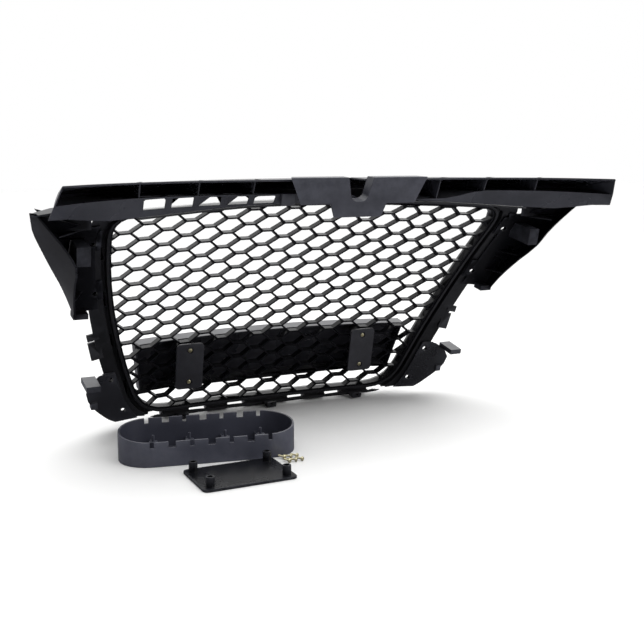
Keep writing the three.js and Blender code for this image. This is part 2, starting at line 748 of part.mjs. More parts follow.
// ---- lower corners ----
function lowerCorner(side) {
  // rows down the plate: rise over the opening's bottom, inner growth, how far its outer edge is beyond the
  // opening, lift of that edge
  const rows = [[87, 20, 81, 0], [76, 20, 98, 4], [61, 20, 105, 8], [46, 20, 101, 8], [31, 20, 92, 6],
    [18, 20, 81, 3], [8, 21, 71, 1], [0, 22, 62, 0], [-7, 24, 50, 0]];
  const plate = loft(rows.map(([rise, grow, beyond, lift]) => {
    const z = openBottom + rise;
    const outer = openBottomHalf + beyond;
    const inner = halfWidthAt(z, grow);
    const mid = (inner + outer) / 2;
    const at = (x, extra) => [side * x, sheetY(x, z) + extra, z];
    const low = lapClearance;
    const high = lapClearance + sheetWall;
    return [at(inner, low), at(mid, low + lift * 0.2), at(outer, low + lift), at(outer, high + lift),
      at(mid, high + lift * 0.2), at(inner, high)];
  }));
  const pads = [2, 3].map((i) => {
    const [x, z] = earSpots[i];
    return sheetPad(side, x, z, 22, i === 3 ? 20 : 28, [lapClearance + 0.5, earProud], earLean[i]);
  });
  const armX = openBottomHalf + 99.5;
  const armZ = openBottom + 84.5;
  const armY = sheetY(armX, armZ);
  const arm = box([side * (armX - 11), side * (armX + 12)], [armY + 1, armY + 43], [armZ - 5, armZ + 4.5]);
  const armInside = [side * (armX - 8.5), side * (armX + 9.5)];
  const armHollow = box(armInside, [armY + 8, armY + 40.5], [armZ - 20, armZ + 2]);
  const hookX = openBottomHalf + 90.5;
  const hookZ = openBottom + 36;
  const hookY = sheetY(hookX, hookZ);
  const hookWide = [side * (hookX - 5.5), side * (hookX + 5)];
  const hook = box(hookWide, [hookY + 1, hookY + 14], [hookZ - 6, hookZ + 6]);
  return cut(join(plate, ...pads, cut(arm, armHollow), hook), ...earHoles(side));
}

// ---- number plate bracket, on the front of the honeycomb ----
function plateBracket() {
  const back = -meshDepth - lapClearance;
  // the end walls stay clear of the curve's rise over their height
  const endSetBack = sheetCrown * (plateTop - plateBottom) ** 2 / 4 + clearance;
  const half = (z) => THREE.MathUtils.mapLinear(z, plateTop, plateBottom, halfWidthAt(plateTop) - plateGapTop,
    halfWidthAt(plateBottom) - plateGapBottom);
  const tray = loft(panelStations(-1, 1, 18).map((share) => {
    const at = (z, rearward) => {
      const x = share * half(z);
      return [x, sheetY(x, z) + back + rearward, z];
    };
    const wall = sheetWall;
    return [at(plateTop, 0), at(plateTop, -plateDepth), at(plateBottom, -plateDepth), at(plateBottom, 0),
      at(plateBottom + wall, 0), at(plateBottom + wall, wall - plateDepth),
      at(plateTop - wall, wall - plateDepth), at(plateTop - wall, 0)];
  }));
  const extras = [];
  for (const side of [-1, 1]) {
    const wall = (z, rearward) => [half(z), half(z) - sheetWall].map((x) => [side * x,
      sheetY(x, z) + back + rearward, z]);
    const corners = [wall(plateTop - 1, -endSetBack), wall(plateTop - 1, 1 - plateDepth),
      wall(plateBottom + 1, 1 - plateDepth), wall(plateBottom + 1, -endSetBack)];
    extras.push(loft([corners.map((pair) => pair[0]), corners.map((pair) => pair[1])]));
    for (const z of [clampScrewTop, clampScrewBottom]) {
      const front = sheetY(clampX, z) + back - plateDepth;
      extras.push(barY(postRadius, side * clampX, [front + 1, postFront(z) - clearance], z));
    }
  }
  return join(tray, ...extras);
}

const postFront = (z) => sheetY(clampX, z) - meshDepth - 4;
const clampMiddle = (clampScrewTop + clampScrewBottom) / 2;
const clampRear = sheetY(clampX, clampMiddle) + clampLift;

function plateClamp(side) {
  const x = side * clampX;
  const outline = roundedOutline(clampWide / 2, clampTall / 2, clampCorner);
  const placed = outline.map(([dx, dz]) => [x + dx, clampMiddle + dz]);
  const plate = slabY(placed, [clampRear - clampWall, clampRear]);
  const screws = [clampScrewTop, clampScrewBottom];
  const posts = screws.map((z) => barY(postRadius, x, [postFront(z), clampRear - clampWall + 1], z));
  const bores = screws.map((z) => barY(screwRadius + clearance, x, [postFront(z) - 5, clampRear + 5], z, 16));
  const recesses = screws.map((z) => barY(recessRadius, x, [clampRear - recessDepth, clampRear + 5], z));
  return cut(join(plate, ...posts), ...bores, ...recesses);
}

function panScrew(length, shank, head, headHeight, sides = 12) {
  const slot = head * 0.16;
  const profile = [[0, -length], [shank, -length + shank * 1.6], [shank, 0], [head, 0],
    [head, headHeight * 0.45], [head * 0.6, headHeight], [0, headHeight]];
  const turned = new THREE.LatheGeometry(profile.map(([r, y]) => new THREE.Vector2(r, y)), sides);
  const blade = new THREE.BoxGeometry(head * 1.1, headHeight, slot * 2);
  blade.translate(0, headHeight, 0);
  return toGeometry(cut(toSolid(turned), toSolid(blade)));
}

// ---- loose kit ----
// an oblong with round corners, counterclockwise
function roundedOutline(halfX, halfY, corner, steps = 4) {
  const outline = [];
  for (const [sx, sy, start] of [[1, 1, 0], [-1, 1, 1], [-1, -1, 2], [1, -1, 3]]) {
    for (let i = 0; i <= steps; i += 1) {
      const turn = (Math.PI / 2) * (start + i / steps);
      outline.push([sx * (halfX - corner) + corner * Math.cos(turn),
        sy * (halfY - corner) + corner * Math.sin(turn)]);
    }
  }
  return outline;
}

function stadium(length, width, steps = 12) {
  const radius = width / 2;
  const reach = length / 2 - radius;
  const points = [];
  for (const side of [1, -1]) {
    for (let i = 0; i <= steps; i += 1) {
      const turn = Math.PI * (i / steps) - Math.PI / 2;
      points.push([side * (reach + radius * Math.cos(turn)), side * radius * Math.sin(turn)]);
    }
  }
  return points;
}

function badgeCarrier() {
  const middle = (carrierNear + carrierFar) / 2;
  const fall = (carrierNear - carrierFar) / carrierWidth; // of the rim, rearward
  const rimAt = (y) => middle + fall * y;
  const column = (outline, low, high) => loft([outline.map(([x, y]) => [x, y, low]),
    outline.map(([x, y]) => [x, y, high(y)])]);
  const hollow = slabZ(stadium(carrierLength - 2 * carrierWall, carrierWidth - 2 * carrierWall),
    [carrierWall, carrierFar * 2]);
  const slots = [];
  for (let i = -3; i <= 3; i += 1) {
    const x = i * 30;
    for (const side of [-1, 1]) {
      const y = side * (carrierWidth / 2 - carrierWall / 2);
      const wide = i % 2 === 0 ? 5.5 : 3.2;
      slots.push(box([x - wide, x + wide], [y - carrierWall * 2, y + carrierWall * 2],
        [rimAt(y) - 9, carrierFar * 2]));
    }
  }
  const posts = [];
  for (const x of [-84, -28, 28, 84]) {
    const post = barZ(7, x, 0, [carrierWall - 1, carrierNear - 12]);
    const pin = barZ(2.2, x, 0, [carrierNear - 13, carrierNear - 2], 12);
    const web = box([x - 1.2, x + 1.2], [-carrierWidth / 2 + 1, carrierWidth / 2 - 1], [carrierWall - 1, 16]);
    posts.push(post, pin, web);
  }
  return join(cut(column(stadium(carrierLength, carrierWidth), 0, rimAt), hollow, ...slots), ...posts);
}

function badgeClampPlate() {
  const halfX = kitPlateLength / 2;
  const halfY = kitPlateWidth / 2;
  const outline = roundedOutline(halfX, halfY, kitPlateCorner);
  const posts = [];
  const bores = [];
  for (const sx of [-1, 1]) {
    for (const sy of [-1, 1]) {
      const [x, y] = [sx * (halfX - kitPostInset), sy * (halfY - kitPostInset)];
      posts.push(barZ(kitPostRadius, x, y, [kitPlateWall - 1, kitPlateWall + kitPostHeight]));
      bores.push(barZ(kitPostRadius - 2.5, x, y, [-5, kitPlateWall + kitPostHeight + 5]));
    }
  }
  return cut(join(slabZ(outline, [0, kitPlateWall]), ...posts), ...bores);
}

// ---- assembly ----
function black(roughness, color = 0x17181b) {
  return new THREE.MeshStandardMaterial({ color, roughness, metalness: 0 });
}

function zinc() {
  return new THREE.MeshStandardMaterial({ color: 0xb89a55, roughness: 0.35, metalness: 0.9 });
}

function piece(name, solid, material) {
  const geometry = solid.isBufferGeometry ? solid : toGeometry(solid);
  const mesh = new THREE.Mesh(geometry, material);
  mesh.name = name;
  return mesh;
}

const grille = new THREE.Group();
grille.add(piece('honeycomb_mesh', honeycomb(), black(0.4)));
grille.add(piece('surround_frame', surround(), black(0.45)));
grille.add(piece('front_trim', frontTrim(), black(0.18)));
grille.add(piece('top_panel', topPanel(), black(0.35)));
grille.add(piece('duct_shelf', ductShelf(), black(0.45)));
grille.add(piece('latch_block', latchBlock(), black(0.4, 0x1d1f23)));
grille.add(piece('plate_bracket', plateBracket(), black(0.5)));
for (const [word, side] of [['left', 1], ['right', -1]]) {
  grille.add(piece(`side_wing_${word}`, wing(side), black(0.4)));
  grille.add(piece(`wing_box_${word}`, wingBox(side), black(0.45, 0x24262b)));
  grille.add(piece(`lower_corner_${word}`, lowerCorner(side), black(0.45)));
  grille.add(piece(`plate_clamp_${word}`, plateClamp(side), black(0.5, 0x24262b)));
  [clampScrewTop, clampScrewBottom].forEach((z, i) => {
    const screw = piece(`clamp_screw_${word}_${i + 1}`,
      panScrew(screwLength, screwRadius, screwHead, screwHeadHeight), zinc());
    screw.position.set(side * clampX, clampRear - recessDepth + clearance, z);
    grille.add(screw);
  });
}
grille.rotation.x = THREE.MathUtils.degToRad(-standLean);
grille.position.z = -new THREE.Box3().setFromObject(grille, true).min.z;

const kit = new THREE.Group();
const carrier = piece('badge_carrier', badgeCarrier(), black(0.4, 0x1c1e26));
carrier.position.set(carrierX, carrierY, 0);
carrier.rotation.z = THREE.MathUtils.degToRad(carrierTurn);
kit.add(carrier);
const kitPlate = piece('badge_clamp_plate', badgeClampPlate(), black(0.45));
kitPlate.position.set(kitPlateX, kitPlateY, 0);
kit.add(kitPlate);
for (let i = 0; i < looseScrewCount; i += 1) {
  const solid = panScrew(looseScrewLength, looseShank, looseHead, looseHeadHeight, 10);
  const screw = piece(`loose_screw_${i + 1}`, solid, zinc());
  const column = (i % 3) - 1;
  const row = Math.floor(i / 3) - 0.5;
  screw.rotation.z = 0.55 + 0.2 * Math.sin(2.1 * i);
  screw.position.set(looseX + column * looseSpread, looseY + row * 1.8 * looseSpread, looseHead);
  kit.add(screw);
}

// the origin is the middle of the base of the whole kit
const all = new THREE.Group();
all.add(grille, kit);
const extent = new THREE.Box3().setFromObject(all, true);
all.position.set(0, -(extent.min.y + extent.max.y) / 2, 0);
all.updateMatrixWorld(true);

export default all;
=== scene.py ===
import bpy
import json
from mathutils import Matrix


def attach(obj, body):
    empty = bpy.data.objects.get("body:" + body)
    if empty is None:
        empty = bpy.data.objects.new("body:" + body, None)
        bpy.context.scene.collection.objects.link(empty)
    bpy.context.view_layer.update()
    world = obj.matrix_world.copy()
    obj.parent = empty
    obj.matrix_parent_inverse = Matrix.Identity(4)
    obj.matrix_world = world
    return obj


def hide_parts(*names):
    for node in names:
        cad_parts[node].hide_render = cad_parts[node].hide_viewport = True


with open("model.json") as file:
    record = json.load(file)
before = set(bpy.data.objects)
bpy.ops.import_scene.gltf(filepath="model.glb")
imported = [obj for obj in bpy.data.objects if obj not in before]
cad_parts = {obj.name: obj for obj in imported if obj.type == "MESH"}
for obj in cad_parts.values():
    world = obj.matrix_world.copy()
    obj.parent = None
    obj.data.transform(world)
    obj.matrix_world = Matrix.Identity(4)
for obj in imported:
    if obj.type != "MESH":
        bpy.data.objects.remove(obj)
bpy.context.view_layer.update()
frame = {"nodes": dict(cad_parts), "record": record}

import json
import math

import bpy
import numpy as np
from mathutils import Matrix, Vector

scene = bpy.context.scene
millimetre = 0.001
bodyOf = {node: body for body, nodes in frame["record"]["behaviour"]["bodies"].items() for node in nodes}


def clearSelection():
    if bpy.context.mode != "OBJECT":
        bpy.ops.object.mode_set(mode="OBJECT")
    bpy.ops.object.select_all(action="DESELECT")
    bpy.context.view_layer.objects.active = None


def makeActive(piece):
    clearSelection()
    piece.select_set(True)
    bpy.context.view_layer.objects.active = piece


def applyModifiers(piece):
    makeActive(piece)
    for name in [modifier.name for modifier in piece.modifiers]:
        bpy.ops.object.modifier_apply(modifier=name)


# camera: low, behind the grille and to its left, looking slightly down
cameraSettings = {"place": (0.6756, 1.4197, 0.4578), "azimuth": 26.06, "down": 9.46, "lens": 53.67}


def makeCamera():
    turn = math.radians(cameraSettings["azimuth"])
    down = math.radians(cameraSettings["down"])
    look = Vector((-math.sin(turn) * math.cos(down), -math.cos(turn) * math.cos(down), -math.sin(down)))
    data = bpy.data.cameras.new("backQuarterView")
    data.lens = cameraSettings["lens"]
    data.clip_end = 60
    camera = bpy.data.objects.new("backQuarterView", data)
    scene.collection.objects.link(camera)
    camera.location = cameraSettings["place"]
    camera.rotation_euler = look.to_track_quat("-Z", "Y").to_euler()
    scene.camera = camera


makeCamera()
print("camera placed")


# studio: pale floor, bright backdrop on the grille's front side, dimmer room behind the camera
studioSettings = {
    "floorSize": 24.0, "floorColour": (0.92, 0.92, 0.915, 1), "floorRough": 0.6,
    "floorMirroredShade": (0.16, 0.16, 0.175, 1),
    "backdrop": 1.7, "room": 0.30, "low": 0.35, "above": 1.55, "seen": 1.0,
    "softboxPower": 29.0, "softboxSize": 2.2, "softboxPlace": (0.1, 0.45, 2.3),
    "fillPower": 15.0, "fillSize": 1.2, "fillPlace": (-1.3, 1.6, 0.9),
}


def makeFloor():
    clearSelection()
    bpy.ops.mesh.primitive_grid_add(x_subdivisions=8, y_subdivisions=8, size=studioSettings["floorSize"],
                                    location=(0, 0, -0.0004))
    floor = bpy.context.object
    floor.name = "paleFloor"
    paint = bpy.data.materials.new("paleFloorPaint")
    paint.use_nodes = True
    shader = paint.node_tree.nodes["Principled BSDF"]
    lightPath = paint.node_tree.nodes.new("ShaderNodeLightPath")
    tone = paint.node_tree.nodes.new("ShaderNodeMix")    # painted shade in reflections: the floor is darker where glossy surfaces mirror it
    tone.data_type = "RGBA"
    paint.node_tree.links.new(lightPath.outputs["Is Glossy Ray"], tone.inputs["Factor"])
    colours = [socket for socket in tone.inputs if socket.type == "RGBA"]
    colours[0].default_value = studioSettings["floorColour"]
    colours[1].default_value = studioSettings["floorMirroredShade"]
    result = [socket for socket in tone.outputs if socket.type == "RGBA"][0]
    paint.node_tree.links.new(result, shader.inputs["Base Color"])
    shader.inputs["Roughness"].default_value = studioSettings["floorRough"]
    shader.inputs["Specular IOR Level"].default_value = 0.2
    floor.data.materials.append(paint)


def makeRoomLight():
    world = bpy.data.worlds.new("studioRoom")
    world.use_nodes = True
    scene.world = world
    tree = world.node_tree
    tree.nodes.clear()
    direction = tree.nodes.new("ShaderNodeTexCoord")
    parts = tree.nodes.new("ShaderNodeSeparateXYZ")
    tree.links.new(direction.outputs["Generated"], parts.inputs[0])
    facing = tree.nodes.new("ShaderNodeVectorMath")  # backdrop to room, by direction; the left side is dark
    facing.operation = "DOT_PRODUCT"
    tree.links.new(direction.outputs["Generated"], facing.inputs[0])
    facing.inputs[1].default_value = (0.6, 1.0, 0.0)
    sweep = tree.nodes.new("ShaderNodeMapRange")
    sweep.interpolation_type = "SMOOTHSTEP"
    sweep.inputs["From Min"].default_value = -0.60
    sweep.inputs["From Max"].default_value = 0.10
    sweep.inputs["To Min"].default_value = studioSettings["backdrop"]
    sweep.inputs["To Max"].default_value = studioSettings["room"]
    tree.links.new(facing.outputs["Value"], sweep.inputs["Value"])
    rise = tree.nodes.new("ShaderNodeMapRange")      # dimmer low down
    rise.interpolation_type = "SMOOTHSTEP"
    rise.inputs["From Min"].default_value = 0.08
    rise.inputs["From Max"].default_value = 0.38
    rise.inputs["To Min"].default_value = studioSettings["low"]
    tree.links.new(parts.outputs["Z"], rise.inputs["Value"])
    sides = tree.nodes.new("ShaderNodeMath")
    sides.operation = "MULTIPLY"
    tree.links.new(sweep.outputs["Result"], sides.inputs[0])
    tree.links.new(rise.outputs["Result"], sides.inputs[1])
    lift = tree.nodes.new("ShaderNodeMapRange")      # brighter overhead
    lift.interpolation_type = "SMOOTHSTEP"
    lift.inputs["From Min"].default_value = 0.62
    lift.inputs["From Max"].default_value = 0.95
    lift.inputs["To Min"].default_value = 0.0
    lift.inputs["To Max"].default_value = studioSettings["above"]
    tree.links.new(parts.outputs["Z"], lift.inputs["Value"])
    total = tree.nodes.new("ShaderNodeMath")
    total.operation = "MAXIMUM"
    tree.links.new(sides.outputs[0], total.inputs[0])
    tree.links.new(lift.outputs["Result"], total.inputs[1])
    lightPath = tree.nodes.new("ShaderNodeLightPath")
    seen = tree.nodes.new("ShaderNodeMix")
    seen.data_type = "FLOAT"
    tree.links.new(lightPath.outputs["Is Camera Ray"], seen.inputs["Factor"])
    tree.links.new(total.outputs[0], seen.inputs["A"])
    seen.inputs["B"].default_value = studioSettings["seen"]
    background = tree.nodes.new("ShaderNodeBackground")
    background.inputs["Color"].default_value = (1, 1, 1, 1)
    tree.links.new(seen.outputs["Result"], background.inputs["Strength"])
    output = tree.nodes.new("ShaderNodeOutputWorld")
    tree.links.new(background.outputs[0], output.inputs[0])


def makeSoftbox(name, place, size, power, target=(0, 0, 0.15)):
    data = bpy.data.lights.new(name, "AREA")
    data.shape = "SQUARE"
    data.size = size
    data.energy = power
    lamp = bpy.data.objects.new(name, data)
    scene.collection.objects.link(lamp)
    lamp.location = place
    lamp.rotation_euler = (Vector(target) - Vector(place)).to_track_quat("-Z", "Y").to_euler()


makeFloor()
makeRoomLight()
makeSoftbox("overheadSoftbox", studioSettings["softboxPlace"], studioSettings["softboxSize"],
            studioSettings["softboxPower"])
makeSoftbox("fillSoftbox", studioSettings["fillPlace"], studioSettings["fillSize"], studioSettings["fillPower"])
scene.view_settings.view_transform = "Standard"
print("studio lit")


# shared effects, as node groups
def startGroup(name, inputs, outputs):
    group = bpy.data.node_groups.new(name, "ShaderNodeTree")
    for label, value in inputs.items():
        socket = group.interface.new_socket(label, in_out="INPUT", socket_type="NodeSocketFloat")
        socket.default_value = value
    for label in outputs:
        group.interface.new_socket(label, in_out="OUTPUT", socket_type="NodeSocketFloat")
    return group, group.nodes.new("NodeGroupInput"), group.nodes.new("NodeGroupOutput")


def mathNode(tree, operation, first, second=None, clamp=False):
    node = tree.nodes.new("ShaderNodeMath")
    node.operation = operation
    node.use_clamp = clamp
    for socket, value in zip(node.inputs, (first, second)):
        if value is None:
            continue
        if isinstance(value, (int, float)):
            socket.default_value = value
        else:
            tree.links.new(value, socket)
    return node.outputs[0]


def noiseNode(tree, scale, detail, rough=0.5, stretch=None):
    coords = tree.nodes.new("ShaderNodeTexCoord").outputs["Object"]
    if stretch:
        mapping = tree.nodes.new("ShaderNodeMapping")
        mapping.inputs["Scale"].default_value = stretch
        mapping.inputs["Rotation"].default_value = (0.3, 0.5, 0.7)
        tree.links.new(coords, mapping.inputs["Vector"])
        coords = mapping.outputs["Vector"]
    noise = tree.nodes.new("ShaderNodeTexNoise")
    noise.inputs["Detail"].default_value = detail
    noise.inputs["Roughness"].default_value = rough
    tree.links.new(coords, noise.inputs["Vector"])
    if isinstance(scale, (int, float)):
        noise.inputs["Scale"].default_value = scale
    else:
        tree.links.new(scale, noise.inputs["Scale"])
    return noise.outputs["Fac"]


def rangeNode(tree, value, low, high, outLow=0.0, outHigh=1.0):
    node = tree.nodes.new("ShaderNodeMapRange")
    tree.links.new(value, node.inputs["Value"])
    for label, setting in (("From Min", low), ("From Max", high), ("To Min", outLow), ("To Max", outHigh)):
        if isinstance(setting, (int, float)):
            node.inputs[label].default_value = setting
        else:
            tree.links.new(setting, node.inputs[label])
    return node.outputs["Result"]


def makeMouldGrain():     # spark-eroded tool texture and slow tone changes in the moulding
    group, given, out = startGroup("mouldGrain", {"Grain Size mm": 0.8, "Flow Size mm": 90.0}, ["Height", "Cloud"])
    grainScale = mathNode(group, "DIVIDE", 1000.0, given.outputs["Grain Size mm"])
    flowScale = mathNode(group, "DIVIDE", 1000.0, given.outputs["Flow Size mm"])
    group.links.new(noiseNode(group, grainScale, 3.0, 0.6), out.inputs["Height"])
    cloud = rangeNode(group, noiseNode(group, flowScale, 4.0, 0.55), 0.3, 0.7)
    group.links.new(cloud, out.inputs["Cloud"])
    return group


def makeEdgeRubAndHighlight():        # moulded edges rubbed in handling, with a painted highlight where the edges would catch light
    group, given, out = startGroup("edgeRubAndHighlight", {"From": 0.515, "To": 0.60, "Amount": 1.0}, ["Mask"])
    sharp = group.nodes.new("ShaderNodeNewGeometry").outputs["Pointiness"]
    band = rangeNode(group, sharp, given.outputs["From"], given.outputs["To"])
    broken = rangeNode(group, noiseNode(group, 70.0, 4.0, 0.65), 0.3, 0.62, 0.25, 1.0)
    patchy = mathNode(group, "MULTIPLY", band, broken)
    mask = mathNode(group, "MULTIPLY", patchy, given.outputs["Amount"], clamp=True)
    group.links.new(mask, out.inputs["Mask"])
    return group


def makeDustFilm():       # thin dust on what faces up
    group, given, out = startGroup("dustFilm", {"Amount": 0.3, "Patch Size mm": 40.0}, ["Mask"])
    normal = group.nodes.new("ShaderNodeNewGeometry").outputs["Normal"]
    parts = group.nodes.new("ShaderNodeSeparateXYZ")
    group.links.new(normal, parts.inputs[0])
    upward = rangeNode(group, parts.outputs["Z"], 0.35, 1.0)
    scale = mathNode(group, "DIVIDE", 1000.0, given.outputs["Patch Size mm"])
    patch = rangeNode(group, noiseNode(group, scale, 6.0, 0.7), 0.35, 0.7)
    settled = mathNode(group, "MULTIPLY", upward, patch)
    mask = mathNode(group, "MULTIPLY", settled, given.outputs["Amount"], clamp=True)
    group.links.new(mask, out.inputs["Mask"])
    return group


def makeFineScuffs():     # short fine marks from packing and handling
    group, given, out = startGroup("fineScuffs", {"Amount": 0.3}, ["Mask"])
    streak = rangeNode(group, noiseNode(group, 60.0, 2.0, 0.5, stretch=(1.0, 14.0, 5.0)), 0.66, 0.74)
    patch = rangeNode(group, noiseNode(group, 14.0, 2.0), 0.5, 0.65)
    marks = mathNode(group, "MULTIPLY", streak, patch)
    mask = mathNode(group, "MULTIPLY", marks, given.outputs["Amount"], clamp=True)
    group.links.new(mask, out.inputs["Mask"])
    return group


effects = {"grain": makeMouldGrain(), "edge": makeEdgeRubAndHighlight(), "dust": makeDustFilm(), "scuff": makeFineScuffs()}


def placeEffect(tree, effect, values=None):
    node = tree.nodes.new("ShaderNodeGroup")
    node.node_tree = effects[effect]
    for label, value in (values or {}).items():
        node.inputs[label].default_value = value
    return node.outputs


def mixColour(tree, mask, under, over):
    node = tree.nodes.new("ShaderNodeMix")
    node.data_type = "RGBA"
    tree.links.new(mask, node.inputs["Factor"])
    colourSockets = [socket for socket in node.inputs if socket.type == "RGBA"]
    for socket, value in zip(colourSockets, (under, over)):
        if isinstance(value, tuple):
            socket.default_value = (*value, 1.0)
        else:
            tree.links.new(value, socket)
    return [socket for socket in node.outputs if socket.type == "RGBA"][0]


# one dictionary for each finish: linear colours, roughness at the two ends of the flow tone, grain in millimetres
# the edge colour goes on pointy edges, as wear and as a painted highlight, and on scuffs
finishes = {
    "mesh_black": {"deep": (0.0030, 0.0030, 0.0040), "tone": (0.0060, 0.0060, 0.0078), "edge": (0.020, 0.021, 0.027),
                   "rough": (0.20, 0.30), "grain": 0.5, "bump": 0.05, "specular": 0.16, "dust": 0.03,
                   "rubAndHighlight": 0.05, "scuff": 0.15},
    "frame_black": {"deep": (0.0035, 0.0035, 0.0045), "tone": (0.0075, 0.0075, 0.0095), "edge": (0.07, 0.072, 0.085),
                    "rough": (0.32, 0.44), "grain": 0.7, "bump": 0.10, "specular": 0.45, "dust": 0.12,
                    "rubAndHighlight": 0.5, "scuff": 0.3},
    "trim_gloss": {"deep": (0.003, 0.003, 0.0035), "tone": (0.005, 0.005, 0.006), "edge": (0.05, 0.05, 0.06),
                   "rough": (0.10, 0.16), "grain": 1.6, "bump": 0.02, "specular": 0.5, "dust": 0.08,
                   "rubAndHighlight": 0.2, "scuff": 0.25, "coat": 0.6},
    # panel black: the plastic's own colour, raised to lighten the shaded channel under the top flange, painted fill
    # light
    "panel_black": {"deep": (0.016, 0.0165, 0.021), "tone": (0.026, 0.027, 0.035), "edge": (0.09, 0.093, 0.11),
                    "rough": (0.22, 0.32), "grain": 0.7, "bump": 0.12, "specular": 0.45, "dust": 0.15,
                    "rubAndHighlight": 0.5, "scuff": 0.35},
    "wing_black": {"deep": (0.0022, 0.0022, 0.0030), "tone": (0.0046, 0.0046, 0.0062), "edge": (0.06, 0.062, 0.078),
                   "rough": (0.26, 0.36), "grain": 0.7, "bump": 0.10, "specular": 0.13, "dust": 0.02,
                   "rubAndHighlight": 0.6, "scuff": 0.35},
    # lower corners: the wing plastic of their slot drawn lighter than wing_black, painted light
    "corner_black_painted_lighter": {"deep": (0.010, 0.0102, 0.013), "tone": (0.019, 0.0195, 0.025), "edge": (0.10, 0.103, 0.125),
                     "rough": (0.24, 0.34), "grain": 0.7, "bump": 0.10, "specular": 0.5, "dust": 0.10,
                     "rubAndHighlight": 0.6, "scuff": 0.35},
    "block_black": {"deep": (0.017, 0.018, 0.025), "tone": (0.026, 0.027, 0.037), "edge": (0.10, 0.104, 0.13),
                    "rough": (0.30, 0.42), "grain": 0.7, "bump": 0.12, "specular": 0.4, "dust": 0.15,
                    "rubAndHighlight": 0.5, "scuff": 0.3},
    "bracket_black": {"deep": (0.013, 0.013, 0.017), "tone": (0.024, 0.024, 0.031), "edge": (0.06, 0.062, 0.075),
                      "rough": (0.22, 0.32), "grain": 0.8, "bump": 0.08, "specular": 0.5, "dust": 0.25,
                      "rubAndHighlight": 0.4, "scuff": 0.35},
    "clamp_black": {"deep": (0.009, 0.009, 0.012), "tone": (0.018, 0.018, 0.024), "edge": (0.06, 0.06, 0.075),
                    "rough": (0.36, 0.48), "grain": 0.6, "bump": 0.14, "specular": 0.5, "dust": 0.12,
                    "rubAndHighlight": 0.6, "scuff": 0.3},
    "carrier_satin": {"deep": (0.038, 0.040, 0.056), "tone": (0.058, 0.061, 0.084), "edge": (0.14, 0.145, 0.18),
                      "rough": (0.28, 0.36), "grain": 0.6, "bump": 0.06, "specular": 0.6, "dust": 0.05,
                      "rubAndHighlight": 0.5, "scuff": 0.25},
    # loose clamp plate: the clamp plastic of its slot drawn darker than clamp_black, painted shade
    "plate_satin_painted_darker": {"deep": (0.0024, 0.0026, 0.0038), "tone": (0.0048, 0.0052, 0.0074), "edge": (0.10, 0.103, 0.12),
                    "rough": (0.24, 0.32), "grain": 0.6, "bump": 0.06, "specular": 0.22, "dust": 0.01,
                    "rubAndHighlight": 0.6, "scuff": 0.3},
}


def mouldedPlastic(name, finish):
    material = bpy.data.materials.new(name)
    material.use_nodes = True
    tree = material.node_tree
    shader = tree.nodes["Principled BSDF"]
    grain = placeEffect(tree, "grain", {"Grain Size mm": finish["grain"]})
    rubAndHighlight = placeEffect(tree, "edge", {"Amount": finish["rubAndHighlight"]})["Mask"]
    dust = placeEffect(tree, "dust", {"Amount": finish["dust"]})["Mask"]
    scuff = placeEffect(tree, "scuff", {"Amount": finish["scuff"]})["Mask"]
    colour = mixColour(tree, grain["Cloud"], finish["deep"], finish["tone"])
    # painted highlight and wear: the lighter edge colour laid on pointy edges
    colour = mixColour(tree, rubAndHighlight, colour, finish["edge"])
    colour = mixColour(tree, scuff, colour, finish["edge"])
    colour = mixColour(tree, dust, colour, (0.30, 0.30, 0.31))
    tree.links.new(colour, shader.inputs["Base Color"])
    rough = rangeNode(tree, grain["Cloud"], 0.0, 1.0, *finish["rough"])
    rough = mathNode(tree, "ADD", rough, mathNode(tree, "MULTIPLY", dust, 0.5), clamp=True)
    rough = mathNode(tree, "ADD", rough, mathNode(tree, "MULTIPLY", scuff, 0.25), clamp=True)
    tree.links.new(rough, shader.inputs["Roughness"])
    bump = tree.nodes.new("ShaderNodeBump")
    bump.inputs["Strength"].default_value = finish["bump"]
    bump.inputs["Distance"].default_value = 0.0004
    tree.links.new(grain["Height"], bump.inputs["Height"])
    tree.links.new(bump.outputs["Normal"], shader.inputs["Normal"])
    shader.inputs["Specular IOR Level"].default_value = finish["specular"]
    shader.inputs["Coat Weight"].default_value = finish.get("coat", 0.0)
    shader.inputs["Coat Roughness"].default_value = 0.06
    return material


zincSettings = {"bright": (0.92, 0.86, 0.60), "dull": (0.66, 0.60, 0.38), "rough": (0.26, 0.46)}


def platedZinc(name):
    material = bpy.data.materials.new(name)
    material.use_nodes = True
    tree = material.node_tree
    shader = tree.nodes["Principled BSDF"]
    grain = placeEffect(tree, "grain", {"Grain Size mm": 0.4, "Flow Size mm": 4.0})
    tree.links.new(mixColour(tree, grain["Cloud"], zincSettings["dull"], zincSettings["bright"]),
                   shader.inputs["Base Color"])
    tree.links.new(rangeNode(tree, grain["Cloud"], 0.0, 1.0, *zincSettings["rough"]), shader.inputs["Roughness"])
    bump = tree.nodes.new("ShaderNodeBump")
    bump.inputs["Strength"].default_value = 0.08
    bump.inputs["Distance"].default_value = 0.0002
    tree.links.new(grain["Height"], bump.inputs["Height"])
    tree.links.new(bump.outputs["Normal"], shader.inputs["Normal"])
    shader.inputs["Metallic"].default_value = 1.0
    return material


materials = {slot: mouldedPlastic(slot, finish) for slot, finish in finishes.items()}
materials["screw_zinc"] = platedZinc("screw_zinc")
print("finishes mixed")


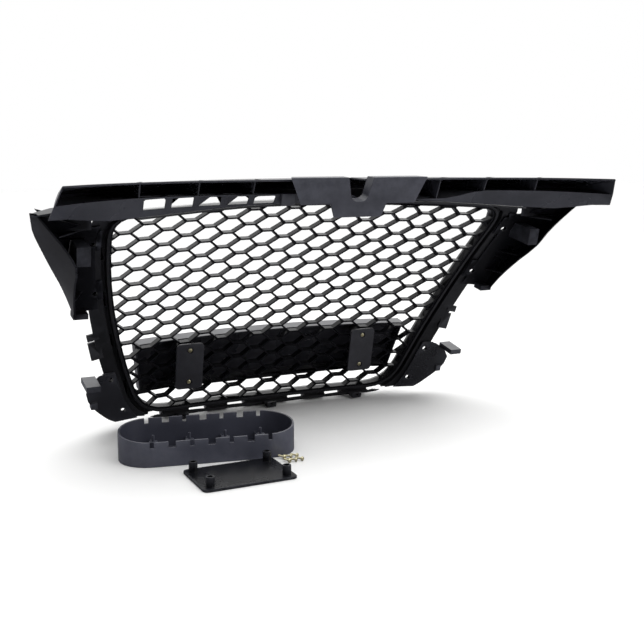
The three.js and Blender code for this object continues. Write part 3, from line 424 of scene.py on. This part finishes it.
# moulded pieces: a merged copy of each node with rounded edges
mouldings = {
    "honeycomb_mesh": {"slot": "mesh_black", "round": 0.2, "steps": 1},
    "surround_frame": {"slot": "frame_black", "round": 0.5, "steps": 2},
    "front_trim": {"slot": "trim_gloss", "round": 0.6, "steps": 2},
    "top_panel": {"slot": "panel_black", "round": 0.7, "steps": 2},
    "duct_shelf": {"slot": "panel_black", "finish": "frame_black", "round": 0.6, "steps": 2},
    "latch_block": {"slot": "block_black", "round": 0.8, "steps": 2},
    "plate_bracket": {"slot": "bracket_black", "round": 0.6, "steps": 2},
    "side_wing_left": {"slot": "wing_black", "round": 0.6, "steps": 2},
    "side_wing_right": {"slot": "wing_black", "round": 0.6, "steps": 2},
    "wing_box_left": {"slot": "wing_black", "round": 0.7, "steps": 2},
    "wing_box_right": {"slot": "wing_black", "round": 0.7, "steps": 2},
    # lower corners: wing plastic in a lighter copy, painted light
    "lower_corner_left": {"slot": "wing_black", "finish": "corner_black_painted_lighter", "round": 0.6, "steps": 2},
    "lower_corner_right": {"slot": "wing_black", "finish": "corner_black_painted_lighter", "round": 0.6, "steps": 2},
    "plate_clamp_left": {"slot": "clamp_black", "round": 0.7, "steps": 2},
    "plate_clamp_right": {"slot": "clamp_black", "round": 0.7, "steps": 2},
    "badge_carrier": {"slot": "carrier_satin", "round": 0.5, "steps": 2},
    # loose clamp plate: clamp plastic in a darker copy, painted shade
    "badge_clamp_plate": {"slot": "clamp_black", "finish": "plate_satin_painted_darker", "round": 0.6, "steps": 2},
}


# what all the moulded pieces share: millimetres and degrees
roundingSettings = {"merge": 0.02, "flat": 0.6, "edge": 32, "smooth": 38, "flatWeight": 60}


def moulding(node, settings):
    piece = bpy.data.objects.new(node + "_moulding", frame["nodes"][node].data.copy())
    scene.collection.objects.link(piece)
    makeActive(piece)
    if piece.data.has_custom_normals:
        bpy.ops.mesh.customdata_custom_splitnormals_clear()
    bpy.ops.object.mode_set(mode="EDIT")
    bpy.ops.mesh.select_mode(type="VERT")
    bpy.ops.mesh.select_all(action="SELECT")
    bpy.ops.mesh.remove_doubles(threshold=roundingSettings["merge"] * millimetre)
    bpy.ops.mesh.dissolve_limited(angle_limit=math.radians(roundingSettings["flat"]))
    bpy.ops.object.mode_set(mode="OBJECT")
    rounding = piece.modifiers.new("rounding", "BEVEL")
    rounding.width = settings["round"] * millimetre
    rounding.segments = settings["steps"]
    rounding.limit_method = "ANGLE"
    rounding.angle_limit = math.radians(roundingSettings["edge"])
    rounding.use_clamp_overlap = False
    applyModifiers(piece)
    bpy.ops.object.shade_smooth_by_angle(angle=math.radians(roundingSettings["smooth"]))
    flats = piece.modifiers.new("flats", "WEIGHTED_NORMAL")
    flats.keep_sharp = True
    flats.weight = roundingSettings["flatWeight"]
    applyModifiers(piece)
    piece.data.materials.clear()
    piece.data.materials.append(materials[settings.get("finish", settings["slot"])])
    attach(piece, bodyOf[node])
    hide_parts(node)
    return piece


for node, settings in mouldings.items():
    piece = moulding(node, settings)
    print("moulded", node, len(piece.data.polygons))

# screws: pan heads with a cross recess, a pointed core and a rolled thread; modelled in millimetres, then
# scaled, with the head up and its seat at zero
screwSettings = {
    "clamp_screw": {"length": 17.8, "core": 1.45, "thread": 1.95, "pitch": 1.5, "head": 3.82, "headHeight": 2.3,
                    "recess": 1.9, "blade": 0.62, "deep": 1.4},
    "loose_screw": {"length": 13.8, "core": 1.2, "thread": 1.65, "pitch": 1.35, "head": 3.52, "headHeight": 2.3,
                    "recess": 1.8, "blade": 0.58, "deep": 1.4},
}


# shared by both kinds: point length as a share of the core, overlap into the head, thread root inside the core
screwShape = {"point": 1.6, "tip": 0.18, "intoHead": 0.5, "root": 0.15, "crown": 0.6, "bladeTaper": 0.55,
              "bladeAbove": 0.6, "clearUnderHead": 1.2, "threadSteps": 16, "smooth": 35}


def selectFaces(piece, wanted):
    makeActive(piece)
    bpy.ops.object.mode_set(mode="EDIT")
    bpy.ops.mesh.select_mode(type="FACE")
    bpy.ops.mesh.select_all(action="DESELECT")
    bpy.ops.object.mode_set(mode="OBJECT")
    for face in piece.data.polygons:
        face.select = wanted(face)
    bpy.ops.object.mode_set(mode="EDIT")


def screwHead(settings):
    clearSelection()
    tall = settings["headHeight"]
    bpy.ops.mesh.primitive_cylinder_add(vertices=28, radius=settings["head"], depth=tall, location=(0, 0, tall / 2))
    head = bpy.context.object
    bpy.ops.object.transform_apply(location=True, rotation=True, scale=True)
    selectFaces(head, lambda face: face.normal.z > 0.9)
    bpy.ops.mesh.bevel(offset=tall * screwShape["crown"], segments=5, affect="EDGES")
    bpy.ops.object.mode_set(mode="OBJECT")
    above = screwShape["bladeAbove"]
    bladeSize = (settings["recess"] * 2, settings["blade"] * 2, settings["deep"] + above)
    for quarter in (0, 1):
        clearSelection()
        bpy.ops.mesh.primitive_cube_add(size=1, location=(0, 0, tall - settings["deep"] / 2 + above / 2),
                                        rotation=(0, 0, quarter * math.pi / 2), scale=bladeSize)
        blade = bpy.context.object
        bpy.ops.object.transform_apply(location=True, rotation=True, scale=True)
        selectFaces(blade, lambda face: face.normal.z < -0.9)
        bpy.ops.transform.resize(value=(screwShape["bladeTaper"], screwShape["bladeTaper"], 1))
        bpy.ops.object.mode_set(mode="OBJECT")
        pressed = head.modifiers.new("recess", "BOOLEAN")
        pressed.operation = "DIFFERENCE"
        pressed.object = blade
        applyModifiers(head)
        bpy.data.objects.remove(blade)
    return head


def screwCore(settings):
    clearSelection()
    point = settings["core"] * screwShape["point"]
    top = screwShape["intoHead"]
    straight = settings["length"] - point + top
    bpy.ops.mesh.primitive_cylinder_add(vertices=18, radius=settings["core"], depth=straight,
                                        location=(0, 0, top - straight / 2))
    core = bpy.context.object
    bpy.ops.object.transform_apply(location=True, rotation=True, scale=True)
    selectFaces(core, lambda face: face.normal.z < -0.9)
    bpy.ops.mesh.extrude_region_move(TRANSFORM_OT_translate={"value": (0, 0, -point)})
    bpy.ops.transform.resize(value=(screwShape["tip"], screwShape["tip"], 1))
    bpy.ops.object.mode_set(mode="OBJECT")
    return core


def screwThread(settings):
    clearSelection()
    reach = settings["thread"] - settings["core"] + screwShape["root"]
    bpy.ops.mesh.primitive_circle_add(vertices=4, radius=reach, rotation=(math.pi / 2, 0, 0))
    thread = bpy.context.object
    bpy.ops.object.transform_apply(location=True, rotation=True, scale=True)
    makeActive(thread)
    bpy.ops.object.mode_set(mode="EDIT")
    bpy.ops.mesh.select_all(action="SELECT")
    bottom = settings["core"] * screwShape["point"] + reach - settings["length"]
    bpy.ops.transform.translate(value=(settings["core"] - screwShape["root"], 0, bottom))
    bpy.ops.object.mode_set(mode="OBJECT")
    turned = thread.modifiers.new("rolled", "SCREW")
    turned.axis = "Z"
    turned.screw_offset = settings["pitch"]
    turned.iterations = int((-bottom - screwShape["clearUnderHead"]) / settings["pitch"])
    turned.steps = screwShape["threadSteps"]
    turned.render_steps = screwShape["threadSteps"]
    applyModifiers(thread)
    makeActive(thread)
    bpy.ops.object.mode_set(mode="EDIT")
    bpy.ops.mesh.select_all(action="SELECT")
    bpy.ops.mesh.fill_holes(sides=0)
    bpy.ops.object.mode_set(mode="OBJECT")
    return thread


def modelScrew(kind, settings):
    pieces = [screwHead(settings), screwCore(settings), screwThread(settings)]
    clearSelection()
    for piece in pieces:
        piece.select_set(True)
    bpy.context.view_layer.objects.active = pieces[0]
    bpy.ops.object.join()
    model = bpy.context.object
    makeActive(model)
    bpy.ops.object.mode_set(mode="EDIT")
    bpy.ops.mesh.select_all(action="SELECT")
    bpy.ops.mesh.normals_make_consistent(inside=False)
    bpy.ops.object.mode_set(mode="OBJECT")
    bpy.ops.object.shade_smooth_by_angle(angle=math.radians(screwShape["smooth"]))
    model.name = kind + "_model"
    return model


# where a node's screw stands: the middle of its head's top and the direction the head faces
def screwStance(node):
    source = frame["nodes"][node]
    points = np.array([source.matrix_world @ vertex.co for vertex in source.data.vertices])
    middle = points.mean(axis=0)
    axis = np.linalg.svd(points - middle)[2][0]
    along = (points - middle) @ axis
    wide = np.linalg.norm(points - middle - np.outer(along, axis), axis=1)
    if wide[along > 0].mean() < wide[along < 0].mean():
        axis, along = -axis, -along
    return Vector(middle + axis * along.max()), Vector(axis)


def placeScrew(model, node, settings, turn):
    top, axis = screwStance(node)
    piece = model.copy()
    piece.data = model.data.copy()
    piece.name = node + "_threaded"
    scene.collection.objects.link(piece)
    stand = Matrix.Translation(top) @ axis.to_track_quat("Z", "Y").to_matrix().to_4x4()
    drop = Matrix.Translation((0, 0, -settings["headHeight"] * millimetre))
    piece.matrix_world = stand @ drop @ Matrix.Rotation(turn, 4, "Z") @ Matrix.Scale(millimetre, 4)
    makeActive(piece)
    bpy.ops.object.transform_apply(location=True, rotation=True, scale=True)
    piece.data.materials.clear()
    piece.data.materials.append(materials["screw_zinc"])
    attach(piece, bodyOf[node])
    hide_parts(node)


for kind, settings in screwSettings.items():
    model = modelScrew(kind, settings)
    for i, node in enumerate(sorted(name for name in frame["nodes"] if name.startswith(kind))):
        placeScrew(model, node, settings, 0.7 * i + 0.2)
    bpy.data.objects.remove(model)
    print("screws placed", kind)
